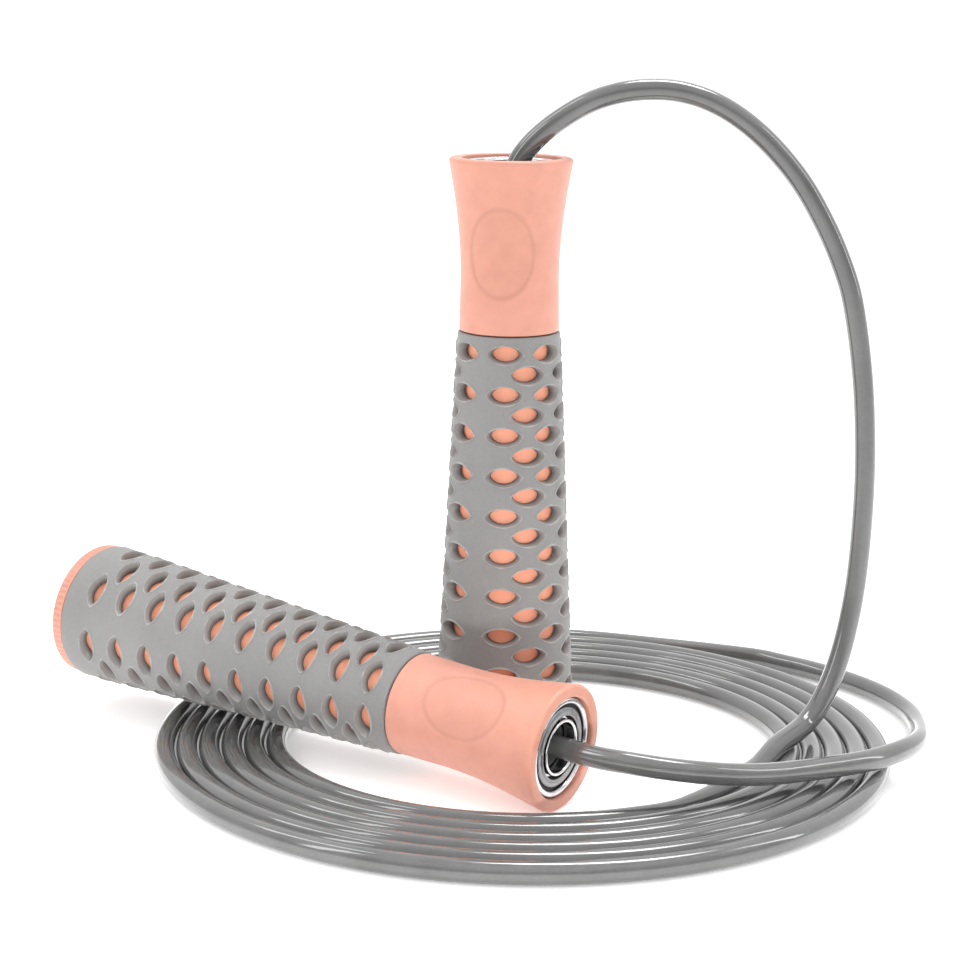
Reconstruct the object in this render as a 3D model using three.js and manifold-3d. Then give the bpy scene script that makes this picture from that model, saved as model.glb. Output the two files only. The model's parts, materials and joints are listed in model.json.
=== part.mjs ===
// Ball-bearing jump rope, coiled up: one handle stands on its cap inside the coil, the other lies
// across it. Millimetres, +Z up. The origin is the centre of the standing handle's cap, on the
// ground, and that handle's axis is +Z.
import * as THREE from 'three';
import { mergeVertices } from 'three/addons/utils/BufferGeometryUtils.js';
import Module from 'manifold-3d';

const wasm = await Module();
wasm.setup();

// ---- Driving dimensions ----------------------------------------------------------------------

const GAP = 0.3; // clearance between any two pieces that touch or nest

// Handle, measured along its axis from the cap's outer face
const HANDLE_LENGTH = 146;
const HEAD_LENGTH = 42.5; // bare head, from the sleeve to the flange face
const FLANGE_LAND = 2.95; // flange's flat face, round the bearing's seat
const FLANGE_FLARE = 30; // length over which the neck opens into the flange
const FLANGE_EDGE = 0.8; // rounding of the flange's rim
const NECK_WALL = 1.6;
const NECK_DRAFT = 0.25; // the neck is this much wider, in radius, at the sleeve
const CORE_WALL = 2;

// Grip sleeve
const SLEEVE_PROUD = 0.3; // sleeve's top edge above the neck
const SLEEVE_END_R = 17.6;
const SLEEVE_WALL = 2.2;
const SLEEVE_EDGE = 0.7;

// Screw cap
const CAP_STEP = 0.4; // cap's rim below the sleeve's end
const CAP_RIM = 3.2;
const CAP_CHAMFER = 0.7;
const CAP_PLUG_LENGTH = 8;
const CAP_PLUG_WALL = 1.7;
const SEAL_THICKNESS = 1;
const SEAL_WIDTH = 1.6;

// Bearing, 12 x 24 x 6 mm
const BEARING_BORE_R = 6;
const BEARING_R = 12;
const BEARING_WIDTH = 6;
const BEARING_RECESS = 0.8; // flange face to bearing face
const BEARING_LIP = 1.4; // height of the shoulder behind the outer ring
const BALL_R = 1.5;
const BALL_COUNT = 11;
const BALL_PLAY = 0.25; // ball to raceway and to cage pocket
const RACE_SHOULDER = 0.45; // raceway depth below each ring's land
const GROOVE_HALF = 0.6;
const GROOVE_MOUTH = 1.3;
const CAGE_WALL = 1.1;
const CAGE_CROWN = 0.5;
const SHIELD_THICKNESS = 0.3;
const SHIELD_INSET = 0.15;

// Rope and what holds it
const ROPE_R = 2.65;
const ROPE_SIDES = 8;
const ROPE_TAIL = 28; // rope behind the flange face
const BUSH_LIP = 1.4; // bush's flange beyond the bearing's bore
const BUSH_FLANGE = 1.6;
const BUSH_LENGTH = 4.6; // from the bearing's back face to the mouth, flange included
const BUSH_MOUTH_WALL = 0.8;
const WASHER_WIDTH = 4.05;
const WASHER_THICKNESS = 1;
const STOP_WALL = 2.25;
const STOP_LENGTH = 8;
const SCREW_R = 1.3;
const SCREW_HEX_R = 0.7;
const SCREW_HEX_DEPTH = 1;
const SCREW_PROUD = 0.4;

// Coil on the ground
const COIL_CENTRE = new THREE.Vector2(5.5, -18);
const COIL_INNER_R = 56;
const COIL_TURNS = 6;
const COIL_SPARE = 4.7; // slack between the turns, in all
const COIL_CHAMFER = 1.3;

// Lying handle: its flange rests on the ground inside the coil, its grip on the coil
const LYING_FLANGE = new THREE.Vector2(13.5, -60.6); // flange face centre, seen from above
const LYING_HEADING_DEG = -33.5; // direction the flange faces, round from +X
const LYING_CLEARANCE = 0.5333; // lying grip to the coil's top

// Free rope from the standing handle's mouth, up over the arch and down on to the coil
const ARCH_ROUTE = [
  [0.5, 0, 142], [2.6, 0, 146.4], [6.4, 0, 150.8], [12, -0.2, 155.3], [19, -0.5, 159.4],
  [26, -0.8, 161.7], [33.4, -1, 162.6], [40.7, -1.4, 162.2], [48, -1.8, 160.1], [55.3, -2.3, 156.1],
  [62.8, -2.8, 149.9], [70.4, -3.4, 141.2], [76.2, -4, 131.8], [80.9, -4.5, 122], [84.2, -5, 112.3],
  [87.3, -6.2, 94], [88.6, -7.4, 77], [88.7, -8.6, 62], [87.6, -10.4, 44], [85.4, -12.6, 30.5],
  [82.2, -15.6, 20], [78.2, -19.2, 12.6], [74.8, -22.6, 9.4],
];

// Free rope from the lying handle's mouth, over the coil's front and round its outside
const LEAD_ROUTE = [
  [20.4, -65.2, 14.9], [27.6, -68.6, 14.8], [35.6, -69.8, 14], [44.2, -68.6, 12.7], [52.6, -65.6, 11.2],
  [61, -61.4, 9.9], [69.6, -56.6, 9.1], [78.6, -52, 8.7], [87.4, -46.8, 8.5], [95, -39.4, 8.1],
  [100.6, -30.2, 7], [104, -19, 5.4], [105.7, -7, 3.9], [105.6, 5.5, 3], [102, 18.6, 2.8],
  [95.6, 30, 2.75], [87, 40.2, 2.75], [78.4, 47.6, 2.75], [72.6, 52.2, 2.75],
];

// ---- Derived sizes ---------------------------------------------------------------------------

const ROPE_CLEAR_R = ROPE_R + GAP;
const SLEEVE_START = CAP_RIM + GAP;
const HEAD_START = HANDLE_LENGTH - HEAD_LENGTH;
const SLEEVE_STOP = HEAD_START - GAP;
const CORE_START = SLEEVE_START + SEAL_THICKNESS + GAP;
const BEARING_FRONT = HANDLE_LENGTH - BEARING_RECESS;
const BEARING_BACK = BEARING_FRONT - BEARING_WIDTH;
const BEARING_MIDDLE = BEARING_BACK + BEARING_WIDTH / 2;
const BALL_PITCH_R = (BEARING_BORE_R + BEARING_R) / 2;
const INNER_GROOVE_R = BALL_PITCH_R - BALL_R - BALL_PLAY;
const OUTER_GROOVE_R = BALL_PITCH_R + BALL_R + BALL_PLAY;
const INNER_LAND_R = INNER_GROOVE_R + RACE_SHOULDER;
const OUTER_LAND_R = OUTER_GROOVE_R - RACE_SHOULDER;
const SEAT_R = BEARING_R + GAP;
const SEAT_BACK = BEARING_BACK - GAP;
const HEAD_BORE_R = BEARING_R - BEARING_LIP;
const NECK_R = HEAD_BORE_R + NECK_WALL;
const FLANGE_R = SEAT_R + FLANGE_LAND;
const SLEEVE_TOP_R = NECK_R + NECK_DRAFT + SLEEVE_PROUD;
const CAP_R = SLEEVE_END_R - CAP_STEP;
const BUSH_FLANGE_R = BEARING_BORE_R + BUSH_LIP;
const BUSH_START = BEARING_BACK - GAP - BUSH_FLANGE;
const BUSH_MOUTH = BUSH_START + BUSH_LENGTH;
const WASHER_START = BUSH_START - GAP - WASHER_THICKNESS;
const STOP_START = WASHER_START - GAP - STOP_LENGTH;
const WASHER_R = ROPE_CLEAR_R + WASHER_WIDTH;
const STOP_R = ROPE_CLEAR_R + STOP_WALL;
const COIL_OUTER_R = COIL_INNER_R + COIL_TURNS * 2 * ROPE_R + COIL_SPARE;
const COIL_HEIGHT = 2 * ROPE_R;

const ROUND = 32; // facets of the handle's turned parts
const RING_ROUND = 2 * BALL_COUNT;
const SMALL_ROUND = 20;
const COIL_ROUND = 40;
const POCKET_ROUND = 8;
const TILT_STEPS = 20; // rounds of the lying handle's tilt

function sleeveRadius(s) {
  const t = (s - SLEEVE_START) / (SLEEVE_STOP - SLEEVE_START);
  return THREE.MathUtils.lerp(SLEEVE_END_R, SLEEVE_TOP_R, t);
}

function coreRadius(s) {
  return sleeveRadius(s) - SLEEVE_WALL - GAP;
}

// ---- Materials -------------------------------------------------------------------------------

function finish(color, roughness, metalness = 0) {
  return new THREE.MeshStandardMaterial({ color, roughness, metalness });
}

const shellPlastic = () => finish(0xf5b49d, 0.45);
const gripRubber = () => finish(0x9d9d9d, 0.8);
const ropeVinyl = () => finish(0x777777, 0.3);
const bearingSteel = () => finish(0xc8cacc, 0.22, 1);
const shieldSteel = () => finish(0x9a9c9e, 0.4, 1);
const blackPlastic = () => finish(0x1c1c1e, 0.5);
const sealRubber = () => finish(0x222222, 0.9);
const stopAlloy = () => finish(0xb5b8bb, 0.35, 1);

// ---- Geometry helpers ------------------------------------------------------------------------

// Turned solid about +Z from [radius, height] points; the outline closes on itself
function turned(outline, facets) {
  const points = [...outline, outline[0]].map(([r, z]) => new THREE.Vector2(r, z));
  return new THREE.LatheGeometry(points, facets).rotateX(Math.PI / 2);
}

// Plain ring or tube section about +Z
function ring(innerR, outerR, start, stop, facets) {
  return turned([[innerR, start], [outerR, start], [outerR, stop], [innerR, stop]], facets);
}

function solid(geometry) {
  const bare = geometry.clone();
  bare.deleteAttribute('normal');
  bare.deleteAttribute('uv');
  const merged = mergeVertices(bare, 1e-4);
  const mesh = new wasm.Mesh({
    numProp: 3,
    vertProperties: new Float32Array(merged.attributes.position.array),
    triVerts: new Uint32Array(merged.index.array),
  });
  return new wasm.Manifold(mesh);
}

function fromSolid(manifold) {
  const mesh = manifold.getMesh();
  const geometry = new THREE.BufferGeometry();
  geometry.setAttribute('position', new THREE.BufferAttribute(mesh.vertProperties, 3));
  geometry.setIndex(new THREE.BufferAttribute(mesh.triVerts, 1));
  geometry.computeVertexNormals();
  return geometry;
}

function cut(geometry, tools) {
  return fromSolid(tools.reduce((body, tool) => body.subtract(solid(tool)), solid(geometry)));
}

// ---- Handle parts, each in the handle's own frame: cap face at z = 0, flange face on top ------

// Neck and flange outline: a quarter-wave flare from the neck to the flange rim
function flareOutline(steps) {
  const start = HANDLE_LENGTH - FLANGE_FLARE;
  return Array.from({ length: steps + 1 }, (_, i) => {
    const t = i / steps;
    const r = NECK_R + (FLANGE_R - NECK_R) * (1 - Math.cos(t * Math.PI / 2)) ** 1.1;
    return [r, start + t * (FLANGE_FLARE - FLANGE_EDGE)];
  });
}

function coreGeometry() {
  const capSocketR = coreRadius(CORE_START) - CORE_WALL;
  const topBoreR = coreRadius(SLEEVE_STOP) - CORE_WALL;
  const socketDepth = CORE_START + CAP_PLUG_LENGTH;
  return turned([
    [capSocketR, CORE_START],
    [coreRadius(CORE_START), CORE_START],
    [coreRadius(SLEEVE_STOP), SLEEVE_STOP],
    [coreRadius(SLEEVE_STOP), HEAD_START],
    [NECK_R + NECK_DRAFT, HEAD_START],
    ...flareOutline(5),
    [FLANGE_R - FLANGE_EDGE / 2, HANDLE_LENGTH],
    [SEAT_R, HANDLE_LENGTH],
    [SEAT_R, SEAT_BACK],
    [HEAD_BORE_R, SEAT_BACK],
    [HEAD_BORE_R, HANDLE_LENGTH - FLANGE_FLARE],
    [topBoreR, HEAD_START],
    [capSocketR, socketDepth],
  ], ROUND);
}

function sleeveGeometry() {
  return turned([
    [SLEEVE_END_R - SLEEVE_WALL, SLEEVE_START],
    [SLEEVE_END_R - SLEEVE_EDGE, SLEEVE_START],
    [sleeveRadius(SLEEVE_START + SLEEVE_EDGE), SLEEVE_START + SLEEVE_EDGE],
    [sleeveRadius(SLEEVE_STOP - SLEEVE_EDGE), SLEEVE_STOP - SLEEVE_EDGE],
    [SLEEVE_TOP_R - SLEEVE_EDGE, SLEEVE_STOP],
    [SLEEVE_TOP_R - SLEEVE_WALL, SLEEVE_STOP],
  ], ROUND);
}

// Cap: a rim disc with a hollow threaded plug, open towards the handle
function capGeometry() {
  const plugR = coreRadius(CORE_START) - CORE_WALL - GAP;
  const plugStop = CORE_START + CAP_PLUG_LENGTH - GAP;
  return turned([
    [0, 0],
    [CAP_R - CAP_CHAMFER, 0],
    [CAP_R, CAP_CHAMFER],
    [CAP_R, CAP_RIM],
    [plugR, CAP_RIM],
    [plugR, plugStop],
    [plugR - CAP_PLUG_WALL, plugStop],
    [plugR - CAP_PLUG_WALL, CAP_RIM],
    [0, CAP_RIM],
  ], ROUND);
}

function sealGeometry() {
  const innerR = coreRadius(CORE_START) - CORE_WALL;
  return ring(innerR, innerR + SEAL_WIDTH, CAP_RIM + GAP, CAP_RIM + GAP + SEAL_THICKNESS, ROUND);
}

// Bearing ring outline: square section with a tapered raceway groove cut into its land
function raceOutline(backR, landR, grooveR) {
  return [
    [backR, BEARING_BACK],
    [landR, BEARING_BACK],
    [landR, BEARING_MIDDLE - GROOVE_MOUTH],
    [grooveR, BEARING_MIDDLE - GROOVE_HALF],
    [grooveR, BEARING_MIDDLE + GROOVE_HALF],
    [landR, BEARING_MIDDLE + GROOVE_MOUTH],
    [landR, BEARING_FRONT],
    [backR, BEARING_FRONT],
  ];
}

function bearingInnerGeometry() {
  return turned(raceOutline(BEARING_BORE_R, INNER_LAND_R, INNER_GROOVE_R), RING_ROUND);
}

function bearingOuterGeometry() {
  return turned(raceOutline(BEARING_R, OUTER_LAND_R, OUTER_GROOVE_R).reverse(), RING_ROUND);
}

function ballAngle(index) {
  return index * 2 * Math.PI / BALL_COUNT;
}

// Crown cage: a ring with one open pocket round each ball
function cageGeometry() {
  const pocketR = BALL_R + BALL_PLAY;
  const back = BEARING_BACK + SHIELD_INSET + SHIELD_THICKNESS + GAP;
  const blank = ring(
    BALL_PITCH_R - CAGE_WALL / 2, BALL_PITCH_R + CAGE_WALL / 2, back, BEARING_MIDDLE + CAGE_CROWN, RING_ROUND,
  );
  const pockets = Array.from({ length: BALL_COUNT }, (_, i) => (
    new THREE.CylinderGeometry(pocketR, pocketR, 3 * CAGE_WALL, POCKET_ROUND)
      .rotateZ(Math.PI / 2)
      .translate(BALL_PITCH_R, 0, BEARING_MIDDLE)
      .rotateZ(ballAngle(i))
  ));
  return cut(blank, pockets);
}

function ballGeometry(index) {
  return new THREE.SphereGeometry(BALL_R, 7, 5)
    .rotateX(Math.PI / 2)
    .translate(BALL_PITCH_R, 0, BEARING_MIDDLE)
    .rotateZ(ballAngle(index));
}

function shieldGeometry(start) {
  return ring(INNER_LAND_R + GAP, OUTER_LAND_R - GAP, start, start + SHIELD_THICKNESS, RING_ROUND);
}

// Swivel bush: flange behind the inner ring, body through its bore, mouth flared for the rope
function bushGeometry() {
  const bodyR = BEARING_BORE_R - GAP;
  const flangeTop = BUSH_START + BUSH_FLANGE;
  return turned([
    [ROPE_CLEAR_R, BUSH_START],
    [BUSH_FLANGE_R, BUSH_START],
    [BUSH_FLANGE_R, flangeTop],
    [bodyR, flangeTop],
    [bodyR, BUSH_MOUTH],
    [bodyR - BUSH_MOUTH_WALL, BUSH_MOUTH],
    [ROPE_CLEAR_R, flangeTop],
  ], SMALL_ROUND);
}

function washerGeometry() {
  return ring(ROPE_CLEAR_R, WASHER_R, WASHER_START, WASHER_START + WASHER_THICKNESS, SMALL_ROUND);
}

// Clamp collar on the rope's end, drilled across for its set screw
function stopGeometry() {
  const blank = ring(ROPE_CLEAR_R, STOP_R, STOP_START, STOP_START + STOP_LENGTH, SMALL_ROUND);
  const hole = new THREE.CylinderGeometry(SCREW_R + GAP, SCREW_R + GAP, STOP_R, 12)
    .rotateZ(Math.PI / 2)
    .translate(ROPE_R + STOP_R / 2, 0, STOP_START + STOP_LENGTH / 2);
  return cut(blank, [hole]);
}

function screwGeometry() {
  const length = STOP_R + SCREW_PROUD - ROPE_CLEAR_R;
  const blank = new THREE.CylinderGeometry(SCREW_R, SCREW_R, length, 12);
  const hex = new THREE.CylinderGeometry(SCREW_HEX_R, SCREW_HEX_R, 2 * SCREW_HEX_DEPTH, 6)
    .translate(0, length / 2, 0);
  return cut(blank, [hex])
    .rotateZ(-Math.PI / 2)
    .translate(ROPE_CLEAR_R + length / 2, 0, STOP_START + STOP_LENGTH / 2);
}

// ---- Assembly --------------------------------------------------------------------------------

function addNode(group, name, geometry, material) {
  const mesh = new THREE.Mesh(geometry, material);
  mesh.name = name;
  group.add(mesh);
}

// Every piece of one handle; side is the suffix that tells the two handles apart
function buildHandle(side) {
  const handle = new THREE.Group();
  addNode(handle, `handle_core_${side}`, coreGeometry(), shellPlastic());
  addNode(handle, `grip_sleeve_${side}`, sleeveGeometry(), gripRubber());
  addNode(handle, `end_cap_${side}`, capGeometry(), shellPlastic());
  addNode(handle, `cap_seal_${side}`, sealGeometry(), sealRubber());
  addNode(handle, `bearing_outer_${side}`, bearingOuterGeometry(), bearingSteel());
  addNode(handle, `bearing_inner_${side}`, bearingInnerGeometry(), bearingSteel());
  addNode(handle, `bearing_cage_${side}`, cageGeometry(), shieldSteel());
  for (let i = 0; i < BALL_COUNT; i += 1) {
    const number = String(i + 1).padStart(2, '0');
    addNode(handle, `ball_${side}_${number}`, ballGeometry(i), bearingSteel());
  }
  const frontShield = BEARING_FRONT - SHIELD_INSET - SHIELD_THICKNESS;
  addNode(handle, `shield_front_${side}`, shieldGeometry(frontShield), shieldSteel());
  addNode(handle, `shield_rear_${side}`, shieldGeometry(BEARING_BACK + SHIELD_INSET), shieldSteel());
  addNode(handle, `swivel_bush_${side}`, bushGeometry(), blackPlastic());
  addNode(handle, `rope_washer_${side}`, washerGeometry(), stopAlloy());
  addNode(handle, `rope_stop_${side}`, stopGeometry(), stopAlloy());
  addNode(handle, `stop_screw_${side}`, screwGeometry(), bearingSteel());
  return handle;
}

// Distance, seen from above, from the lying flange back along its handle to a circle of the coil
function reachToCoil(heading, radius) {
  const start = LYING_FLANGE.clone().sub(COIL_CENTRE);
  const along = start.dot(new THREE.Vector2(-Math.cos(heading), -Math.sin(heading)));
  return Math.sqrt(along ** 2 + radius ** 2 - start.lengthSq()) - along;
}

// Tilt that lifts the lying grip clear of the coil's top at a reach from its flange
function tiltOver(reach) {
  let tilt = 0;
  for (let step = 0; step < TILT_STEPS; step += 1) {
    const gripR = sleeveRadius(HANDLE_LENGTH - reach / Math.cos(tilt));
    const rise = COIL_HEIGHT + LYING_CLEARANCE + gripR / Math.cos(tilt) - FLANGE_R * Math.cos(tilt);
    tilt = Math.atan(rise / reach);
  }
  return tilt;
}

// Places the lying handle: flange rim on the ground, grip on the coil
function layHandle(handle) {
  const heading = THREE.MathUtils.degToRad(LYING_HEADING_DEG);
  const edges = [COIL_INNER_R + COIL_CHAMFER, COIL_OUTER_R - COIL_CHAMFER];
  const tilt = Math.max(...edges.map((radius) => tiltOver(reachToCoil(heading, radius))));
  const axis = new THREE.Vector3(
    Math.cos(tilt) * Math.cos(heading), Math.cos(tilt) * Math.sin(heading), -Math.sin(tilt),
  );
  const flange = new THREE.Vector3(LYING_FLANGE.x, LYING_FLANGE.y, FLANGE_R * Math.cos(tilt));
  handle.quaternion.setFromUnitVectors(new THREE.Vector3(0, 0, 1), axis);
  handle.position.copy(flange).addScaledVector(axis, -HANDLE_LENGTH);
  handle.updateMatrixWorld(true);
}

// A point on a handle's axis, at a distance from its cap face
function onAxis(handle, s) {
  return handle.localToWorld(new THREE.Vector3(0, 0, s));
}

// Rope solid along its straight tail in a handle and then its free route
function ropeGeometry(handle, route, steps) {
  const points = [
    onAxis(handle, HANDLE_LENGTH - ROPE_TAIL),
    onAxis(handle, STOP_START),
    onAxis(handle, WASHER_START),
    onAxis(handle, BEARING_BACK),
    ...route.map((point) => new THREE.Vector3(...point)),
  ];
  const section = new THREE.Shape(Array.from({ length: ROPE_SIDES }, (_, i) => {
    const angle = (i + 0.5) * 2 * Math.PI / ROPE_SIDES;
    return new THREE.Vector2(ROPE_R * Math.cos(angle), ROPE_R * Math.sin(angle));
  }));
  return new THREE.ExtrudeGeometry(section, { steps, extrudePath: new THREE.CatmullRomCurve3(points) });
}

// Ring with the outer shape of the whole coil
function coilGeometry() {
  return turned([
    [COIL_INNER_R, 0],
    [COIL_OUTER_R - COIL_CHAMFER, 0],
    [COIL_OUTER_R, COIL_CHAMFER],
    [COIL_OUTER_R, COIL_HEIGHT - COIL_CHAMFER],
    [COIL_OUTER_R - COIL_CHAMFER, COIL_HEIGHT],
    [COIL_INNER_R + COIL_CHAMFER, COIL_HEIGHT],
    [COIL_INNER_R, COIL_HEIGHT - COIL_CHAMFER],
  ], COIL_ROUND).translate(COIL_CENTRE.x, COIL_CENTRE.y, 0);
}

const jumpRope = new THREE.Group();
const standing = buildHandle('a');
const lying = buildHandle('b');
layHandle(lying);
jumpRope.add(standing, lying);
addNode(jumpRope, 'rope_arch', ropeGeometry(standing, ARCH_ROUTE, 30), ropeVinyl());
addNode(jumpRope, 'rope_lead', ropeGeometry(lying, LEAD_ROUTE, 24), ropeVinyl());
addNode(jumpRope, 'rope_coil', coilGeometry(), ropeVinyl());

export default jumpRope;
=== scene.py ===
"""Coiled jump rope with two perforated grips on ball bearings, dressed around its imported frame.

One handle stands on its screw cap inside the coil and the other lies across it. Every handle piece is
built in the handle's own frame, with the cap's face at z = 0 and the flange on top, and is then placed
by the axis of the handle's spin joint. All sizes are in metres.
"""
import json
import logging
import math
from collections.abc import Callable, Sequence
from dataclasses import dataclass, field
from enum import Enum
from functools import cached_property
from typing import NamedTuple

import bmesh
import bpy
from mathutils import Matrix, Vector


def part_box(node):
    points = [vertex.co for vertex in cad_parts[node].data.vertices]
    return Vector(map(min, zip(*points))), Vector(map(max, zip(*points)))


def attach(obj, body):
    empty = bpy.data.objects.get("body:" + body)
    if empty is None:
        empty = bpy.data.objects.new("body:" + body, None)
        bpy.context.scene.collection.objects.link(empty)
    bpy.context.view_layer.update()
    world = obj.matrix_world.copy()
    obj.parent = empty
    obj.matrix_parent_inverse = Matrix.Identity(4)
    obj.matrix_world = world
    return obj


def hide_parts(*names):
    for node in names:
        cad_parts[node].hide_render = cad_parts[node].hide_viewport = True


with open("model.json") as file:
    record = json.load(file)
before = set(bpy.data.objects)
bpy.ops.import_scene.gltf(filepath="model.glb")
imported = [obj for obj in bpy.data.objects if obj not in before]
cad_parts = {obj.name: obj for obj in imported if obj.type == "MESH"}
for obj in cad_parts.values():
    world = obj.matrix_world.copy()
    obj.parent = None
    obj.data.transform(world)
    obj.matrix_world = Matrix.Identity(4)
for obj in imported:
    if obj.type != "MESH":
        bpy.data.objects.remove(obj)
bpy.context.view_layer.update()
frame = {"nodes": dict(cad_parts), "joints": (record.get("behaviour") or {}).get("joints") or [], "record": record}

LOG = logging.getLogger("jump_rope")
MM = 0.001
GAP = 0.3 * MM
WELD = 0.002 * MM

Point2 = tuple[float, float]
Relief = Callable[[float, float, float], float]


# ---- Node-based finishes -------------------------------------------------------------------------


class Slot(Enum):
    """The record's material slots."""

    SHELL = "shell_plastic"
    GRIP = "grip_rubber"
    ROPE = "rope_vinyl"
    BEARING = "bearing_steel"
    BALL = "ball_steel"
    CAGE = "cage_steel"
    SHIELD = "shield_steel"
    BUSH = "bush_plastic"
    WASHER = "washer_steel"
    STOP = "stop_alloy"
    SCREW = "screw_steel"
    SEAL = "seal_rubber"


class NodeTree:
    """A node tree and a short way to add and wire its nodes."""

    def __init__(self, tree: bpy.types.NodeTree) -> None:
        """Keep the tree that the nodes go into."""
        self.tree = tree

    def node(self, kind: str, wires: dict[str | int, object], **settings: object) -> bpy.types.Node:
        """Add a node.

        Args:
            kind: The node's class name without its ShaderNode prefix.
            wires: Input names or numbers, each with a socket to link or a constant.
            settings: Properties of the node.

        Returns:
            The new node.
        """
        node = self.tree.nodes.new(f"ShaderNode{kind}")
        for name, value in settings.items():
            setattr(node, name, value)
        for key, value in wires.items():
            if isinstance(value, bpy.types.NodeSocket):
                self.tree.links.new(value, node.inputs[key])
            else:
                node.inputs[key].default_value = value
        return node


class NodeBench(NodeTree):
    """A material and short ways to make its colour, roughness and bump."""

    def __init__(self, name: str) -> None:
        """Start a material that holds only its principled shader.

        Args:
            name: The material's name.
        """
        self.material = bpy.data.materials.new(name)
        self.material.use_nodes = True
        super().__init__(self.material.node_tree)
        self.shader = self.tree.nodes["Principled BSDF"]
        self.place = self.node("TexCoord", {}).outputs["Object"]

    def set(self, **values: float | tuple[float, ...]) -> None:
        """Set constants on the shader's own sockets.

        Args:
            values: Socket names, with underscores for spaces, and their values.
        """
        for name, value in values.items():
            self.shader.inputs[name.replace("_", " ")].default_value = value

    def noise(self, size: float, detail: float = 3, roughness: float = 0.55,
              place: bpy.types.NodeSocket | None = None) -> bpy.types.NodeSocket:
        """Add a noise texture.

        Args:
            size: Size of one blotch, in metres.
            detail: Number of finer octaves.
            roughness: How strong the finer octaves are.
            place: Coordinates, or None for the piece's own.

        Returns:
            The noise value, from 0 to 1.
        """
        wires = {"Vector": place or self.place, "Scale": 1 / size, "Detail": detail, "Roughness": roughness}
        return self.node("TexNoise", wires).outputs["Fac"]

    def mark(self, name: str) -> bpy.types.NodeSocket:
        """Return the value of a per-vertex mark that a mesh carries."""
        return self.node("Attribute", {}, attribute_name=name).outputs["Fac"]

    def spread(self, value: bpy.types.NodeSocket, low: float, high: float,
               start: float = 0.3, stop: float = 0.7) -> bpy.types.NodeSocket:
        """Map a value's middle range on to another range, clamped.

        Args:
            value: The socket to map.
            low: The result at start and below.
            high: The result at stop and above.
            start: The value that gives low.
            stop: The value that gives high.

        Returns:
            The mapped socket.
        """
        wires = {"Value": value, "From Min": start, "From Max": stop, "To Min": low, "To Max": high}
        return self.node("MapRange", wires).outputs["Result"]

    def blend(self, factor: bpy.types.NodeSocket, first: object, second: object) -> bpy.types.NodeSocket:
        """Mix two colours by a factor and return the colour socket."""
        mix = self.node("Mix", {0: factor, 6: first, 7: second}, data_type="RGBA")
        return mix.outputs[2]

    def product(self, first: object, second: object) -> bpy.types.NodeSocket:
        """Return the product of two values."""
        return self.node("Math", {0: first, 1: second}, operation="MULTIPLY").outputs[0]

    def shade(self, colour: object, level: bpy.types.NodeSocket) -> bpy.types.NodeSocket:
        """Return a colour times a level."""
        return self.node("VectorMath", {0: colour, 3: level}, operation="SCALE").outputs[0]

    def bump(self, layers: Sequence[tuple[bpy.types.NodeSocket, float]]) -> None:
        """Stack bump layers on the shader's normal.

        Args:
            layers: Height sockets, each with its depth in metres.
        """
        below: bpy.types.NodeSocket | None = None
        for height, depth in layers:
            wires: dict[str | int, object] = {"Height": height, "Distance": depth, "Strength": 1.0}
            if below is not None:
                wires["Normal"] = below
            below = self.node("Bump", wires).outputs["Normal"]
        if below is not None:
            self.tree.links.new(below, self.shader.inputs["Normal"])

    def dress(self, colour: bpy.types.NodeSocket, roughness: bpy.types.NodeSocket) -> None:
        """Link the colour and the roughness to the shader."""
        self.tree.links.new(colour, self.shader.inputs["Base Color"])
        self.tree.links.new(roughness, self.shader.inputs["Roughness"])


class Rgb(NamedTuple):
    """A linear colour."""

    red: float
    green: float
    blue: float

    def scaled(self, factor: float) -> tuple[float, float, float, float]:
        """Return the colour times a factor, as a socket value."""
        return (self.red * factor, self.green * factor, self.blue * factor, 1.0)


WHITE = Rgb(1.0, 1.0, 1.0)


@dataclass(frozen=True)
class ShellPlastic:
    """Satin peach plastic with a very fine mould grain and faint tone drift.

    The mesh marks its grooves ("crease"), which are painted darker as shade, its oval pad ("pad") and the tube
    under the grip ("tube"), which is painted brighter as light inside the grip's holes.
    """

    colour: Rgb = Rgb(0.645, 0.295, 0.227)
    warm: Rgb = Rgb(0.645, 0.292, 0.206)
    # Brighter, more saturated peach painted on the tube as light inside the grip's holes.
    tube: Rgb = Rgb(0.93, 0.385, 0.245)
    roughness: float = 0.4

    def material(self) -> bpy.types.Material:
        """Return the finished material.

        Returns:
            The peach plastic.
        """
        bench = NodeBench("peach_shell_plastic")
        drift = bench.spread(bench.noise(26 * MM, 2), 0.0, 1.0)
        tone = bench.blend(drift, self.colour.scaled(1.0), self.warm.scaled(1.0))
        rubbed = bench.spread(bench.noise(5 * MM, 4), 0.94, 1.03)
        tone = bench.shade(tone, rubbed)
        # Painted light: the tube seen through the grip's holes is brighter and more saturated than the head,
        # lifting the shade in the holes.
        tone = bench.blend(bench.mark("tube"), tone, self.tube.scaled(1.0))
        # Painted shade: the shell turns darker in the groove round the oval pad and between the cap's ridges.
        groove = bench.spread(bench.mark("crease"), 0.0, 0.34, 0.0, 1.0)
        tone = bench.blend(groove, tone, self.colour.scaled(0.6))
        pad = bench.spread(bench.mark("pad"), 0.0, 0.16, 0.0, 1.0)
        tone = bench.blend(pad, tone, self.warm.scaled(0.72))
        rough = bench.spread(bench.noise(1.6 * MM, 3), self.roughness - 0.06, self.roughness + 0.07)
        bench.dress(tone, rough)
        bench.set(Subsurface_Weight=0.06, Subsurface_Radius=(0.0022, 0.0012, 0.0008), IOR=1.47)
        bench.bump([(bench.noise(0.35 * MM, 2), 0.006 * MM), (bench.noise(7 * MM, 2), 0.03 * MM)])
        return bench.material


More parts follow.
